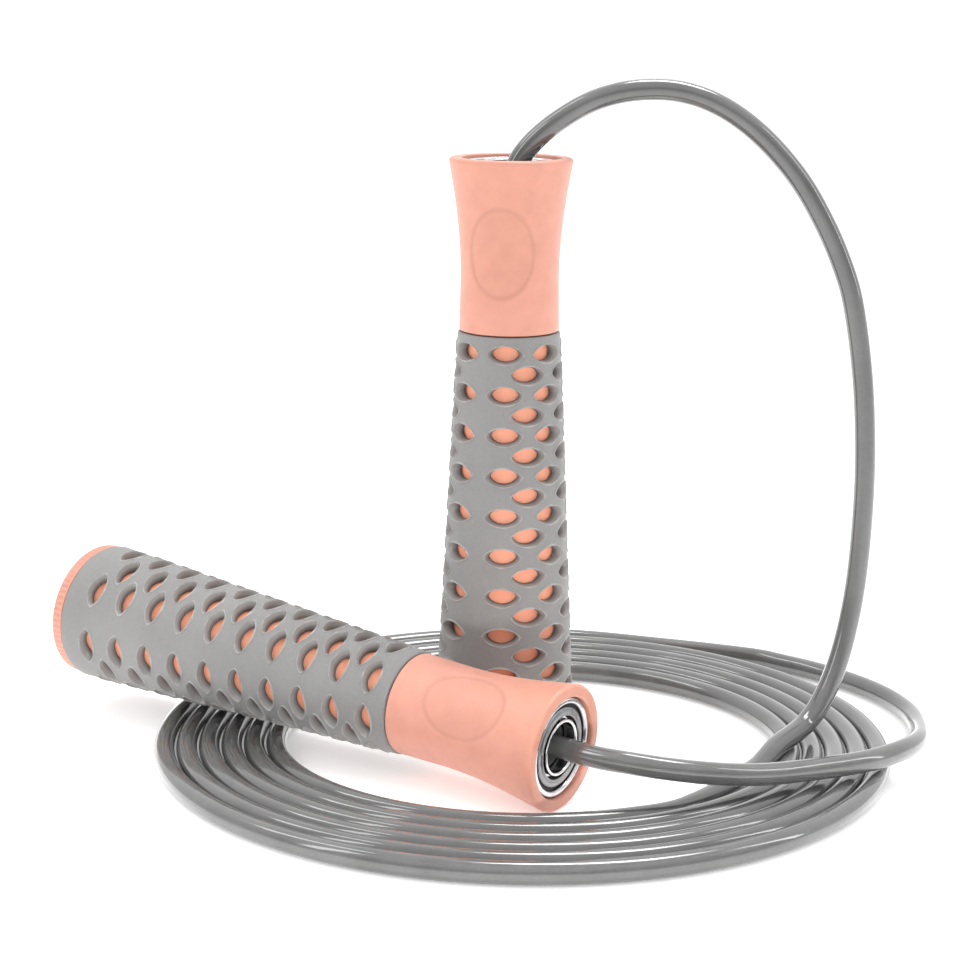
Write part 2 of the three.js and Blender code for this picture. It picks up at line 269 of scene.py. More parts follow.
@dataclass(frozen=True)
class GripRubber:
    """Matte grey soft rubber, with a fine skin grain, hole lips painted paler as a highlight with some wear, hole
    walls painted paler as light and funnel floors painted dark as shade.
    """

    colour: Rgb = Rgb(0.23, 0.228, 0.224)
    # Paler tone painted on the hole lips as a highlight with some wear, and on the hole walls as light.
    lip: Rgb = Rgb(0.43, 0.422, 0.41)
    roughness: float = 0.6

    def material(self) -> bpy.types.Material:
        """Return the finished material.

        Returns:
            The grey rubber.
        """
        bench = NodeBench("grey_grip_rubber")
        drift = bench.spread(bench.noise(17 * MM, 3), 0.93, 1.06)
        speckle = bench.spread(bench.noise(0.5 * MM, 2), 0.955, 1.045)
        tone = bench.shade(self.colour, bench.product(drift, speckle))
        # Painted highlight with some wear: the hole lips turn paler in patches.
        lip_highlight_and_wear = bench.product(bench.mark("lip"), bench.spread(bench.noise(2.5 * MM, 3), 0.15, 1.0))
        tone = bench.blend(lip_highlight_and_wear, tone, self.lip.scaled(1.0))
        # Painted light: the shallow hole walls are made paler to make up for their shade.
        lit_walls = bench.spread(bench.mark("sunk"), 0.0, 0.35, 0.0, 0.3)
        tone = bench.blend(lit_walls, tone, self.lip.scaled(0.9))
        # Painted shade: the deep funnel floors turn dark.
        funnel_shade = bench.spread(bench.mark("sunk"), 0.0, 0.85, 0.6, 1.0)
        tone = bench.blend(funnel_shade, tone, self.colour.scaled(0.3))
        rough = bench.spread(bench.noise(1.1 * MM, 3), self.roughness - 0.08, self.roughness + 0.08)
        bench.dress(tone, rough)
        bench.set(Sheen_Weight=0.12, Sheen_Roughness=0.5, IOR=1.45)
        bench.bump([(bench.noise(0.28 * MM, 3), 0.018 * MM), (bench.noise(2.2 * MM, 2), 0.03 * MM)])
        return bench.material


@dataclass(frozen=True)
class RopeVinyl:
    """Glossy grey vinyl with slight drawing waves and a smooth, hard skin."""

    colour: Rgb = Rgb(0.082, 0.082, 0.081)
    pale: Rgb = Rgb(0.115, 0.115, 0.114)
    roughness: float = 0.14

    def material(self) -> bpy.types.Material:
        """Return the finished material.

        Returns:
            The grey vinyl.
        """
        bench = NodeBench("grey_rope_vinyl")
        cloud = bench.spread(bench.noise(13 * MM, 3), 0.0, 1.0)
        tone = bench.blend(cloud, self.colour.scaled(1.0), self.pale.scaled(1.0))
        dust = bench.spread(bench.noise(0.7 * MM, 3), 0.95, 1.05)
        tone = bench.shade(tone, dust)
        rough = bench.spread(bench.noise(6 * MM, 3), self.roughness - 0.03, self.roughness + 0.05)
        bench.dress(tone, rough)
        bench.set(Coat_Weight=1.0, Coat_Roughness=0.05, IOR=1.55)
        bench.bump([(bench.noise(9 * MM, 2), 0.03 * MM), (bench.noise(0.6 * MM, 2), 0.001 * MM)])
        return bench.material


@dataclass(frozen=True)
class Steel:
    """A bare metal with grain, tone drift and fine scratches.

    With ringed=True the grain runs round the bearing's axis, by the mesh's own "ring" mark, and its grooves are
    painted dark as shade, by a second mark.
    """

    name: str
    colour: Rgb
    roughness: float
    grain: float = 0.4 * MM
    grain_depth: float = 0.004 * MM
    ringed: bool = False

    def material(self) -> bpy.types.Material:
        """Return the finished material.

        Returns:
            The metal.
        """
        bench = NodeBench(self.name)
        stain = bench.spread(bench.noise(4 * MM, 4, 0.65), 0.0, 1.0, 0.35, 0.65)
        tone = bench.blend(stain, self.colour.scaled(1.0), self.colour.scaled(0.72))
        if self.ringed:
            # Painted shade: the grooves by the shield turn almost black.
            tone = bench.blend(bench.mark("groove_shade"), tone, self.colour.scaled(0.06))
        rough = bench.spread(bench.noise(1.3 * MM, 4, 0.7), self.roughness * 0.7, self.roughness * 1.45)
        bench.dress(tone, rough)
        bench.set(Metallic=1.0)
        layers = [(bench.noise(self.grain, 3), self.grain_depth)]
        if self.ringed:
            line = bench.node("CombineXYZ", {0: bench.mark("ring")}).outputs[0]
            layers.append((bench.noise(0.22 * MM, 3, 0.7, line), self.grain_depth * 2.2))
            layers.append((bench.noise(1.7 * MM, 2), self.grain_depth * 6))
        bench.bump(layers)
        return bench.material


@dataclass(frozen=True)
class DarkMoulding:
    """Black plastic or rubber with a fine grain."""

    name: str
    colour: Rgb = Rgb(0.012, 0.012, 0.013)
    roughness: float = 0.48

    def material(self) -> bpy.types.Material:
        """Return the finished material.

        Returns:
            The black plastic or rubber.
        """
        bench = NodeBench(self.name)
        haze = bench.spread(bench.noise(3 * MM, 4), 0.0, 1.0)
        tone = bench.blend(haze, self.colour.scaled(1.0), self.colour.scaled(1.9))
        rough = bench.spread(bench.noise(0.9 * MM, 3), self.roughness - 0.08, self.roughness + 0.1)
        bench.dress(tone, rough)
        bench.bump([(bench.noise(0.3 * MM, 2), 0.01 * MM)])
        return bench.material


FINISHES = {
    Slot.SHELL: ShellPlastic(),
    Slot.GRIP: GripRubber(),
    Slot.ROPE: RopeVinyl(),
    Slot.BEARING: Steel("polished_bearing_steel", Rgb(0.8, 0.8, 0.81), 0.15, ringed=True),
    Slot.BALL: Steel("polished_ball_steel", Rgb(0.8, 0.81, 0.82), 0.07),
    Slot.CAGE: Steel("pressed_cage_steel", Rgb(0.56, 0.56, 0.57), 0.34, 0.6 * MM, 0.008 * MM),
    Slot.SHIELD: Steel("pressed_shield_steel", Rgb(0.36, 0.36, 0.37), 0.3, 0.5 * MM, 0.01 * MM, True),
    Slot.BUSH: DarkMoulding("black_bush_plastic"),
    Slot.WASHER: Steel("zinc_washer_steel", Rgb(0.66, 0.67, 0.7), 0.36, 0.8 * MM, 0.01 * MM),
    Slot.STOP: Steel("turned_stop_alloy", Rgb(0.72, 0.72, 0.73), 0.3, 0.3 * MM, 0.008 * MM),
    Slot.SCREW: Steel("dark_screw_steel", Rgb(0.16, 0.16, 0.17), 0.4, 0.4 * MM, 0.008 * MM),
    Slot.SEAL: DarkMoulding("black_seal_rubber", Rgb(0.02, 0.02, 0.02), 0.75),
}


class Paintbox:
    """Makes each finish once and hands it out by slot."""

    def __init__(self) -> None:
        """Make every finish."""
        self.ready = {slot: finish.material() for slot, finish in FINISHES.items()}

    def dress(self, piece: bpy.types.Object, slot: Slot) -> None:
        """Give a new piece the finish of a slot.

        Args:
            piece: The new piece.
            slot: The slot that its finish comes from.
        """
        piece.data.materials.clear()
        piece.data.materials.append(self.ready[slot])

    def dress_kept_nodes(self, kept: dict[str, str]) -> None:
        """Give the CAD nodes that stay their finishes.

        Args:
            kept: Node names, each with its material slot's name.
        """
        for name, slot in kept.items():
            node = frame["nodes"][name]
            for place in node.material_slots:
                place.material = self.ready[Slot(slot)]


# ---- Mesh making ---------------------------------------------------------------------------------


@dataclass
class Skin:
    """Vertices and faces of one piece in its handle's own frame, with marks on its vertices."""

    vertices: list[tuple[float, float, float]] = field(default_factory=list)
    faces: list[tuple[int, ...]] = field(default_factory=list)
    marks: dict[str, list[float]] = field(default_factory=dict)

    def rows(self, rows: Sequence[Sequence[int]], closed: bool) -> None:
        """Join rows of vertex numbers by quads.

        Args:
            rows: Rows of equal length, each joined to the next.
            closed: Whether each row is a loop.
        """
        for low, high in zip(rows, rows[1:]):
            count = len(low)
            for i in range(count if closed else count - 1):
                j = (i + 1) % count
                self.faces.append((low[i], low[j], high[j], high[i]))

    def add(self, point: tuple[float, float, float], **marks: float) -> int:
        """Add a vertex with its marks and return its number.

        Args:
            point: The vertex's place.
            marks: Its marks by name; one left out is 0.

        Returns:
            The vertex's number.
        """
        self.vertices.append(point)
        for name, values in self.marks.items():
            values.append(marks.get(name, 0.0))
        return len(self.vertices) - 1


def sweep_point(radius: float, height: float, angle: float) -> tuple[float, float, float]:
    """Return the point at a radius, height and angle about +Z."""
    return (radius * math.cos(angle), radius * math.sin(angle), height)


def eased(corners: Sequence[tuple[float, float, float]], steps: int = 5) -> list[Point2]:
    """Round the corners of a closed outline.

    Args:
        corners: Radius, height and easing length of each corner; 0 keeps the corner sharp.
        steps: Number of chords in each eased corner.

    Returns:
        The outline's points as radius and height.
    """
    points: list[Point2] = []
    for i, (radius, height, ease) in enumerate(corners):
        tip = Vector((radius, height))
        if not ease:
            points.append((radius, height))
            continue
        ends = []
        for other in (corners[i - 1], corners[(i + 1) % len(corners)]):
            way = Vector(other[:2]) - tip
            ends.append(tip + way.normalized() * min(ease, way.length / 2))
        for k in range(steps + 1):
            t = k / steps
            point = ends[0] * (1 - t) ** 2 + tip * 2 * t * (1 - t) + ends[1] * t ** 2
            points.append((point.x, point.y))
    return points


def turned(outline: Sequence[Point2], facets: int, relief: Relief | None = None,
           marks: dict[str, Relief] | None = None) -> Skin:
    """Turn a closed outline about +Z.

    Args:
        outline: Radius and height of each point; points on the axis close the form.
        facets: Number of steps round the axis.
        relief: Depth cut below the outline, from radius, height and angle.
        marks: Named per-vertex values, each from radius, height and angle.

    Returns:
        The turned skin.
    """
    marks = marks or {}
    skin = Skin(marks={name: [] for name in marks})
    rows = []
    for step in range(facets):
        angle = step * math.tau / facets
        row = []
        for radius, height in outline:
            depth = relief(radius, height, angle) if relief else 0.0
            values = {name: rule(radius, height, angle) for name, rule in marks.items()}
            row.append(skin.add(sweep_point(radius - depth, height, angle), **values))
        rows.append(row)
    skin.rows([*rows, rows[0]], closed=True)
    return skin


def smooth_step(low: float, high: float, value: float) -> float:
    """Return 0 below low, 1 above high and a smooth rise between them."""
    t = min(max((value - low) / (high - low), 0.0), 1.0)
    return t * t * (3 - 2 * t)


@dataclass(frozen=True)
class Placing:
    """Where one handle is: the turn and shift from its own frame to the row frame."""

    side: str
    matrix: Matrix

    @classmethod
    def at_joint(cls, side: str) -> "Placing":
        """Work out a handle's place from its spin joint.

        Args:
            side: The suffix of the handle's nodes.

        Returns:
            The placing, with the flange's face centre on the joint.
        """
        joint = next(joint for joint in frame["joints"] if joint["name"] == f"spin_{side}")
        axis = Vector(joint["axis"]).normalized()
        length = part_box("handle_core_a")[1].z
        turn = Vector((0, 0, 1)).rotation_difference(axis).to_matrix().to_4x4()
        return cls(side, Matrix.Translation(Vector(joint["pos_m"]) - length * axis) @ turn)

    def node(self, kind: str) -> str:
        """Return the name of this handle's node of that kind."""
        return f"{kind}_{self.side}"

    def on_axis(self, height: float) -> Vector:
        """Return the point on the handle's axis at a height above the cap's face."""
        return self.matrix @ Vector((0, 0, height))

    def make(self, name: str, skin: Skin, crease_deg: float) -> bpy.types.Object:
        """Make a mesh object of a skin and put it in its place.

        Args:
            name: The piece's name.
            skin: The piece in the handle's own frame.
            crease_deg: Edges sharper than this stay crisp.

        Returns:
            The new object, linked to the scene.
        """
        mesh = bpy.data.meshes.new(name)
        mesh.from_pydata(skin.vertices, [], skin.faces)
        for mark, values in skin.marks.items():
            mesh.attributes.new(mark, "FLOAT", "POINT").data.foreach_set("value", values)
        shape = bmesh.new()
        shape.from_mesh(mesh)
        bmesh.ops.remove_doubles(shape, verts=shape.verts, dist=WELD)
        bmesh.ops.dissolve_degenerate(shape, edges=shape.edges, dist=WELD)
        bmesh.ops.recalc_face_normals(shape, faces=shape.faces)
        shape.to_mesh(mesh)
        shape.free()
        mesh.transform(self.matrix)
        mesh.shade_smooth()
        mesh.set_sharp_from_angle(angle=math.radians(crease_deg))
        piece = bpy.data.objects.new(name, mesh)
        bpy.context.scene.collection.objects.link(piece)
        return piece

    def stand_in(self, paint: Paintbox, name: str, skin: Skin, slot: Slot, node: str, body: str,
                 crease_deg: float = 38) -> None:
        """Make a piece, dress it and let it stand for its CAD node.

        Args:
            paint: The finishes.
            name: The piece's name without its side.
            skin: The piece in the handle's own frame.
            slot: The material slot that it takes its finish from.
            node: The node's name without its side.
            body: The body that it rides on.
            crease_deg: Edges sharper than this stay crisp.
        """
        piece = self.make(self.node(name), skin, crease_deg)
        paint.dress(piece, slot)
        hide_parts(self.node(node))
        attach(piece, body)


# ---- Handle pieces -------------------------------------------------------------------------------


@dataclass
class HandleShell:
    """The peach shell: bare head with its flange and oval pad, and the tube under the grip."""

    placing: Placing
    oval_deg: float
    neck_radius: float = 12.2 * MM
    flare_length: float = 30 * MM
    flare_power: float = 1.1
    flange_edge: float = 0.8 * MM
    sleeve_step: float = 0.25 * MM
    shoulder_ease: float = 0.5 * MM
    wall: float = 2 * MM
    seat_lip: float = 1.4 * MM
    socket_depth: float = 8 * MM
    oval_height: float = 123.6 * MM
    oval_half: Point2 = (8.4 * MM, 10.8 * MM)
    oval_depth: float = 0.2 * MM
    oval_groove: float = 0.14 * MM
    groove_half: float = 0.75 * MM
    facets: int = 208
    flare_rows: int = 60
    head_rows: int = 22
    rim_steps: int = 6

    def __post_init__(self) -> None:
        """Read the sizes that the frame gives."""
        low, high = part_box("handle_core_a")
        self.start, self.length, self.flange_radius = low.z, high.z, high.x
        self.taper = Taper.of_sleeve()
        self.head_start = self.taper.stop + GAP
        bearing_low, bearing_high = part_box("bearing_outer_a")
        self.seat_radius = bearing_high.x + GAP
        self.seat_back = bearing_low.z - GAP

    def flare(self, height: float) -> float:
        """Return the head's outer radius at a height, opening in a quarter wave to the flange.

        Args:
            height: Height above the cap's face.

        Returns:
            The head's outer radius there.
        """
        t = (height - self.length + self.flare_length) / (self.flare_length - self.flange_edge)
        rise = (1 - math.cos(min(max(t, 0.0), 1.0) * math.pi / 2)) ** self.flare_power
        return self.neck_radius + (self.flange_radius - self.neck_radius) * rise

    def oval_reach(self, radius: float, height: float, angle: float) -> float:
        """Return the distance outside the oval pad's outline, in metres, negative inside.

        Args:
            radius: The vertex's radius.
            height: The vertex's height.
            angle: The vertex's angle.

        Returns:
            The distance, negative inside.
        """
        turn = math.remainder(angle - math.radians(self.oval_deg), math.tau)
        half_across, half_along = self.oval_half
        ratio = math.hypot(turn * radius / half_across, (height - self.oval_height) / half_along)
        return (ratio - 1) * half_across

    def on_head(self, radius: float, height: float) -> bool:
        """Return whether an outline point is on the bare head and not in its narrow bore."""
        return height >= self.head_start and radius >= self.neck_radius - self.sleeve_step

    def tube_mark(self, radius: float, height: float, angle: float) -> float:
        """Return 1 on the tube under the grip and 0 on the bare head."""
        return 0.0 if height >= self.head_start else 1.0

    def pad_mark(self, radius: float, height: float, angle: float) -> float:
        """Return 1 inside the oval pad and 0 outside it.

        Args:
            radius: The vertex's radius.
            height: The vertex's height.
            angle: The vertex's angle.

        Returns:
            The mark, eased across the groove.
        """
        if not self.on_head(radius, height):
            return 0.0
        return 1 - smooth_step(-self.groove_half, self.groove_half, self.oval_reach(radius, height, angle))

    def pad_relief(self, radius: float, height: float, angle: float) -> float:
        """Return the depth of the oval pad and of the fine groove round it.

        Args:
            radius: The vertex's radius.
            height: The vertex's height.
            angle: The vertex's angle.

        Returns:
            The depth in metres.
        """
        if not self.on_head(radius, height):
            return 0.0
        reach = self.oval_reach(radius, height, angle)
        groove = self.oval_groove * (1 - smooth_step(0, self.groove_half, abs(reach)))
        return groove + self.oval_depth * (1 - smooth_step(-self.groove_half, self.groove_half, reach))

    def crease(self, radius: float, height: float, angle: float) -> float:
        """Return how far a vertex lies in the groove round the oval pad, from 0 to 1.

        Args:
            radius: The vertex's radius.
            height: The vertex's height.
            angle: The vertex's angle.

        Returns:
            The mark, 1 in the groove's middle.
        """
        if not self.on_head(radius, height):
            return 0.0
        return 1 - smooth_step(0, self.groove_half, abs(self.oval_reach(radius, height, angle)))

    def head(self) -> list[tuple[float, float, float]]:
        """Return the bare head's fine rows of corners, from the shoulder to the flange's rounded rim.

        Returns:
            Radius, height and an easing length of 0 for each corner.
        """
        top = self.neck_radius + self.sleeve_step
        flare_start = self.length - self.flare_length
        first = self.head_start + self.shoulder_ease
        neck = flare_start - first
        shares = [k / self.head_rows for k in range(1, self.head_rows)]
        points = [(top - self.sleeve_step * share, first + neck * share) for share in shares]
        rise = self.flare_length - self.flange_edge
        heights = [flare_start + rise * k / self.flare_rows for k in range(self.flare_rows + 1)]
        points += [(self.flare(height), height) for height in heights]
        for k in range(1, self.rim_steps + 1):
            turn = math.pi / 2 * k / self.rim_steps
            points.append((self.flange_radius - self.flange_edge * (1 - math.cos(turn)),
                           self.length - self.flange_edge * (1 - math.sin(turn))))
        return [(radius, height, 0.0) for radius, height in points]

    def outline(self) -> list[Point2]:
        """Return the shell's closed outline.

        Returns:
            The outline's points as radius and height.
        """
        socket = self.taper.core(self.start) - self.wall
        bore = self.taper.core(self.head_start) - self.wall
        mouth_bore = self.seat_radius - self.seat_lip - GAP
        return eased([
            (socket, self.start, 0.3 * MM),
            (self.taper.core(self.start), self.start, 0.4 * MM),
            (self.taper.core(self.head_start), self.head_start - GAP, 0.0),
            (self.taper.core(self.head_start), self.head_start, 0.0),
            (self.neck_radius + self.sleeve_step, self.head_start, self.shoulder_ease),
            *self.head(),
            (self.seat_radius, self.length, 0.5 * MM),
            (self.seat_radius, self.seat_back, 0.0),
            (mouth_bore, self.seat_back, 0.3 * MM),
            (mouth_bore, self.length - self.flare_length, 1 * MM),
            (bore, self.head_start, 2 * MM),
            (socket, self.start + self.socket_depth, 1 * MM),
        ])

    def build(self, paint: Paintbox) -> None:
        """Make the shell in place of its node.

        Args:
            paint: The finishes.
        """
        marks = {"crease": self.crease, "pad": self.pad_mark, "tube": self.tube_mark}
        skin = turned(self.outline(), self.facets, self.pad_relief, marks)
        body = self.placing.node("handle")
        self.placing.stand_in(paint, "head_shell", skin, Slot.SHELL, "handle_core", body)


@dataclass(frozen=True)
class Taper:
    """The grip's cone, and the shell under it."""

    start: float
    stop: float
    end_radius: float
    top_radius: float = 12.75 * MM
    wall: float = 2.2 * MM

    @classmethod
    def of_sleeve(cls) -> "Taper":
        """Return the taper of the frame's standing sleeve."""
        low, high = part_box("grip_sleeve_a")
        return cls(low.z, high.z, high.x)

    def outer(self, height: float) -> float:
        """Return the sleeve's outer radius at a height."""
        share = (height - self.start) / (self.stop - self.start)
        return self.end_radius + (self.top_radius - self.end_radius) * share

    def core(self, height: float) -> float:
        """Return the shell's radius under the sleeve at a height."""
        return self.outer(height) - self.wall - GAP


@dataclass
class PerforatedGrip:
    """The soft sleeve, with staggered columns of lens-shaped holes and one plain seam column.

    The skin is tiled by rhombi, each as wide as two columns and as high as one pitch. A tile is a
    fan of spokes from its outline to its hole's mouth, over the rounded lip and down the funnel.
    """

    placing: Placing
    seam_deg: float
    first_hole: float
    last_hole: float
    rows: int = 10
    columns: int = 14
    mouth: Point2 = (9.3 * MM, 4.5 * MM)
    throat: Point2 = (7.9 * MM, 3.7 * MM)
    lens_power: float = 2.0
    lens_bluntness: float = 0.62
    lip_rise: float = 0.3 * MM
    edge: float = 0.5 * MM
    edge_steps: int = 4
    edge_margin: float = 1.5
    quarter_spokes: int = 8
    fan: tuple[float, ...] = (0.0, 0.3, 0.55, 0.74, 0.85, 0.93, 1.0)
    funnel: tuple[float, ...] = (0.1, 0.2, 0.32, 0.48, 0.7, 1.0)
    back_fan: tuple[float, ...] = (1.0, 0.5, 0.0)
    lip_start: Point2 = (0.8, 0.97)
    lip_fade: Point2 = (0.05, 0.4)
    lip_pull: float = 0.42

    def __post_init__(self) -> None:
        """Work out the lattice from the row count and the frame's sleeve."""
        self.taper = Taper.of_sleeve()
        self.pitch = (self.last_hole - self.first_hole) / (self.rows - 1)
        self.column_step = math.tau / self.columns

    def held(self, height: float) -> float:
        """Return a tile outline's height, kept between the sleeve's rounded edges."""
        band = self.edge_margin * self.edge
        return min(max(height, self.taper.start + band), self.taper.stop - band)

    @cached_property
    def spokes(self) -> list[Point2]:
        """Points round a unit rhombus, one for each spoke of a tile.

        Returns:
            Each spoke's point, from one side corner round to itself.
        """
        ring = []
        corners = [(1, 0), (0, 1), (-1, 0), (0, -1)]
        for (x0, y0), (x1, y1) in zip(corners, corners[1:] + corners[:1]):
            for i in range(self.quarter_spokes):
                t = i / self.quarter_spokes
                ring.append((x0 + (x1 - x0) * t, y0 + (y1 - y0) * t))
        return ring

    def lens(self, spoke: Point2, size: Point2) -> Point2:
        """Return a point of a pointed lens outline.

        Args:
            spoke: The spoke's point on the unit rhombus.
            size: The lens's full width and height.

        Returns:
            The offsets round and along the grip, in metres.
        """
        x = math.sin(math.pi / 2 * spoke[0])
        rise = (1 - abs(x) ** self.lens_power) ** self.lens_bluntness
        return (size[0] / 2 * x, math.copysign(size[1] / 2 * rise, spoke[1]))

    def tile(self, skin: Skin, angle: float, height: float, pierced: bool) -> None:
        """Add one rhombic tile, outer skin, hole and inner skin.

        Args:
            skin: The skin to add to.
            angle: The tile centre's angle.
            height: The tile centre's height.
            pierced: Whether the tile has a hole.
        """
        around, up = self.column_step, self.pitch / 2
        radius = self.taper.outer(height)
        rings: list[list[int]] = []

        def ring(share: float, size: Point2, depth: float, lip: float, sunk: float) -> None:
            """Add one ring of the fan, share of the way from the tile's outline to the lens.

            Args:
                share: How far in the ring is, 1 at the lens.
                size: The lens's full width and height.
                depth: Depth below the sleeve's outside.
                lip: The ring's lip mark.
                sunk: The ring's sunk mark.
            """
            row = []
            for spoke in self.spokes:
                across, along = self.lens(spoke, size)
                turn = angle + (1 - share) * around * spoke[0] + share * across / radius
                level = (1 - share) * self.held(height + up * spoke[1]) + share * (height + along)
                point = sweep_point(self.taper.outer(level) - depth, level, turn)
                row.append(skin.add(point, lip=lip, sunk=sunk))
            rings.append(row)

        goal = self.mouth if pierced else (0.0, 0.0)
        for share in self.fan:
            lip = smooth_step(*self.lip_start, share) if pierced else 0.0
            ring(share, goal, -self.lip_rise * lip, lip, 0.0)
        if pierced:
            for sink in self.funnel:
                narrow = 2 * self.lip_pull * sink * (1 - sink) + sink * sink
                size = tuple(m + (t - m) * narrow for m, t in zip(self.mouth, self.throat))
                depth = self.taper.wall * sink * sink - self.lip_rise * (1 - sink) ** 4
                ring(1.0, size, depth, 1 - smooth_step(*self.lip_fade, sink), sink)
        back = self.throat if pierced else (0.0, 0.0)
        for share in self.back_fan:
            ring(share, back, self.taper.wall, 0.0, 1.0)
        skin.rows(rings, closed=True)

    def end_band(self, skin: Skin, first_angle: float, at_top: bool) -> None:
        """Close one end between the zigzag of the last tiles and the sleeve's rounded edge.

        Args:
            skin: The skin to add to.
            first_angle: The angle of a column whose last tile touches the band with its tip.
            at_top: Whether this is the end by the bare head.
        """
        way = 1 if at_top else -1
        stop = self.taper.stop if at_top else self.taper.start
        edge_start = stop - way * self.edge
        tip = self.last_hole if at_top else self.first_hole
        wall = self.taper.wall
        upper = [spoke for spoke in self.spokes if spoke[1] > 0 or spoke == (1, 0)]
        profiles = []
        for column in range(self.columns // 2):
            centre = first_angle - 2 * column * self.column_step
            for x, y in upper:
                level = self.held(tip + way * self.pitch / 2 * y)
                points = [(level, 0.0), (level + (edge_start - level) / 2, 0.0)]
                for k in range(self.edge_steps + 1):
                    turn = math.pi / 2 * k / self.edge_steps
                    drop = self.edge * (1 - math.cos(turn))
                    points.append((edge_start + way * self.edge * math.sin(turn), drop))
                points += [(stop, wall / 2), (stop, wall), (level, wall)]
                angle = centre + x * self.column_step
                profiles.append([
                    skin.add(sweep_point(self.taper.outer(z) - depth, z, angle)) for z, depth in points
                ])
        skin.rows([*profiles, profiles[0]], closed=False)

    def skin(self) -> Skin:
        """Return the whole perforated sleeve.

        Returns:
            The skin in the handle's own frame.
        """
        skin = Skin(marks={"lip": [], "sunk": []})
        seam = math.radians(self.seam_deg)
        for column in range(self.columns):
            angle = seam + column * self.column_step
            between = column % 2 == 0
            count = self.rows - 1 if between else self.rows
            first = self.first_hole + (self.pitch / 2 if between else 0.0)
            for row in range(count):
                self.tile(skin, angle, first + row * self.pitch, pierced=column != 0)
        for at_top in (True, False):
            self.end_band(skin, seam + self.column_step, at_top)
        return skin

    def build(self, paint: Paintbox) -> None:
        """Make the sleeve in place of its node."""
        body = self.placing.node("handle")
        self.placing.stand_in(paint, "perforated_grip", self.skin(), Slot.GRIP, "grip_sleeve", body, 50)


@dataclass
class ScrewCap:
    """The end cap: a finely ridged rim, a shallow dished face and a threaded hollow plug."""

    placing: Placing
    ridges: int = 72
    ridge_depth: float = 0.22 * MM
    ridge_power: float = 0.7
    ridge_start: float = 0.35 * MM
    ridge_fades: Point2 = (0.5 * MM, 0.4 * MM)
    rim_chamfer: float = 0.7 * MM
    rim_margin: float = 1 * MM
    rim_rows: int = 8
    dish_radius: float = 12.5 * MM
    dish_slope: float = 0.6 * MM
    dish_depth: float = 0.5 * MM
    plug_wall: float = 1.7 * MM
    plug_chamfer: float = 0.3 * MM
    plug_margin: float = 0.2 * MM
    wall_margin: float = 0.1 * MM
    plug_rows: int = 36
    thread_pitch: float = 2 * MM
    thread_depth: float = 0.3 * MM
    thread_start: float = 0.4 * MM
    thread_fades: Point2 = (1 * MM, 0.6 * MM)
    steps_per_ridge: int = 4

    def __post_init__(self) -> None:
        """Read the cap's sizes from the frame."""
        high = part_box("end_cap_a")[1]
        self.radius, self.top = high.x, high.z
        shell = HandleShell(self.placing, 0.0)
        self.rim = shell.taper.start - GAP
        self.plug_radius = shell.taper.core(shell.start) - shell.wall - GAP

    def relief(self, radius: float, height: float, angle: float) -> float:
        """Return the depth between the rim's ridges and between the plug's threads.

        Args:
            radius: The vertex's radius.
            height: The vertex's height.
            angle: The vertex's angle.

        Returns:
            The depth in metres.
        """
        if radius > self.radius - self.ridge_depth:
            low, high = self.ridge_fades
            ends = smooth_step(0, low, height - self.ridge_start) * smooth_step(0, high, self.rim - height)
            return self.ridge_depth * ends * (0.5 - 0.5 * math.cos(self.ridges * angle)) ** self.ridge_power
        if height > self.rim + self.thread_start and radius > self.plug_radius - self.wall_margin:
            low, high = self.thread_fades
            phase = height / self.thread_pitch - angle / math.tau
            ends = smooth_step(0, high, self.top - height) * smooth_step(0, low, height - self.rim)
            return self.thread_depth * ends * (0.5 - 0.5 * math.cos(math.tau * phase))
        return 0.0

    def crease(self, radius: float, height: float, angle: float) -> float:
        """Return how deep a rim vertex lies between two ridges, from 0 to 1."""
        on_rim = radius > self.plug_radius + self.rim_margin
        return self.relief(radius, height, angle) / self.ridge_depth if on_rim else 0.0

    def outline(self) -> list[Point2]:
        """Return the cap's closed outline, fine where the rim and the thread are.

        Returns:
            The outline's points as radius and height.
        """
        rim_height = self.rim - self.rim_chamfer - self.plug_chamfer
        plug_height = self.top - self.rim - 2 * self.plug_margin
        inner = self.plug_radius - self.plug_wall
        return [
            (0.0, self.dish_depth),
            (self.dish_radius - self.dish_slope, self.dish_depth),
            (self.dish_radius, 0.0),
            (self.radius - self.rim_chamfer, 0.0),
            (self.radius - 0.3 * MM, 0.15 * MM),
            (self.radius - 0.08 * MM, 0.4 * MM),
            *[(self.radius, self.rim_chamfer + rim_height * k / self.rim_rows)
              for k in range(self.rim_rows + 1)],
            (self.radius - 0.1 * MM, self.rim - 0.1 * MM),
            (self.radius - 0.3 * MM, self.rim),
            (self.plug_radius, self.rim),
            *[(self.plug_radius, self.rim + self.plug_margin + plug_height * k / self.plug_rows)
              for k in range(self.plug_rows + 1)],
            (self.plug_radius - self.plug_chamfer, self.top),
            (inner, self.top),
            (inner, self.rim),
            (0.0, self.rim),
        ]

    def build(self, paint: Paintbox) -> None:
        """Make the cap in place of its node.

        Args:
            paint: The finishes.
        """
        facets = self.ridges * self.steps_per_ridge
        skin = turned(self.outline(), facets, self.relief, {"crease": self.crease})
        self.placing.stand_in(paint, "ridged_cap", skin, Slot.SHELL, "end_cap", self.placing.node("cap"))


